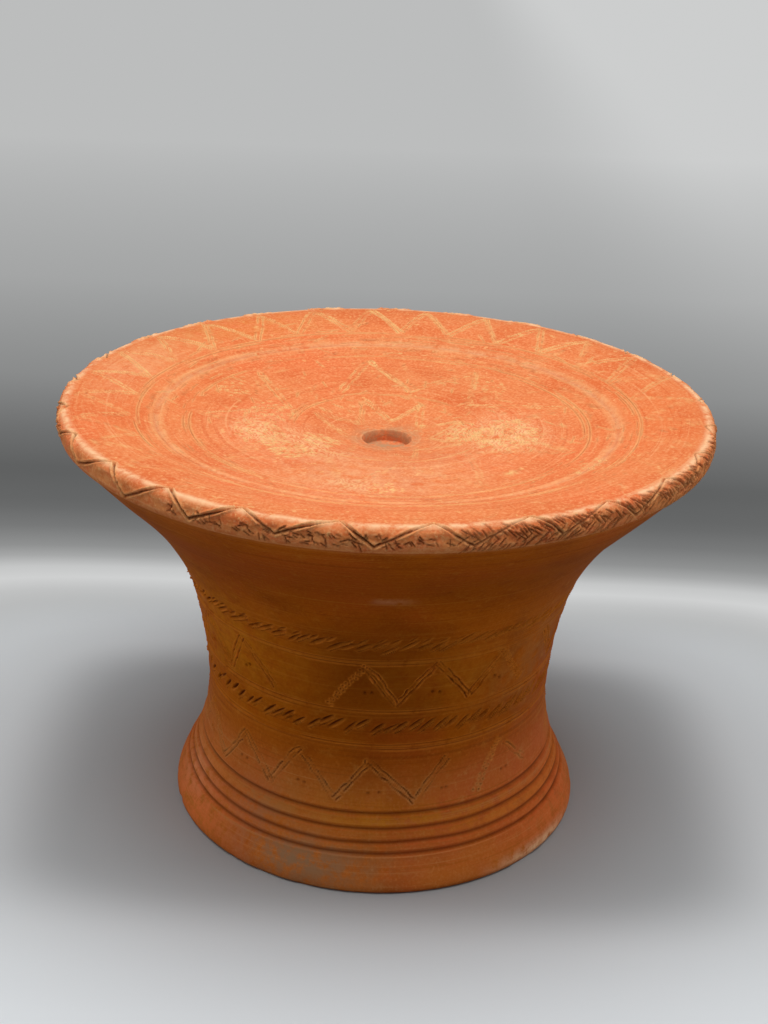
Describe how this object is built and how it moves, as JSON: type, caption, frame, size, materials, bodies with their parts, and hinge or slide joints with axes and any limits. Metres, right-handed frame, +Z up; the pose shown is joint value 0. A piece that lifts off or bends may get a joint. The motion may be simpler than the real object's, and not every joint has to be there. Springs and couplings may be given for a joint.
{
  "type": "clay goblet drum with dished clay head",
  "caption": "Squat hourglass drum body of unglazed terracotta with a wide dished clay head, a shallow socket in its middle and an open foot.",
  "frame": {"origin": "centre of the circle that the foot stands on", "axes": "+Z up along the axis of the drum, +Y away from the viewer"},
  "size_m": [0.3, 0.3, 0.205],
  "materials": {
    "clay_head": "unglazed terracotta, smoothed, matt, with fine turning lines",
    "clay_body": "unglazed terracotta, burnished by hand, low sheen",
    "clay_foot": "unglazed terracotta, redder, with ochre streaks and a chipped edge",
    "clay_inside": "rough unglazed terracotta, finger-wiped"
  },
  "bodies": {
    "root": {"foot_ring": "clay_foot", "foot_wall": "clay_foot", "lower_rope_band": "clay_body", "waist_wall": "clay_body", "upper_rope_band": "clay_body", "bell_wall": "clay_body", "head_dish": "clay_head", "rim_coil": "clay_head", "head_luting_coil": "clay_inside", "foot_luting_coil": "clay_inside"}
  },
  "joints": []
}
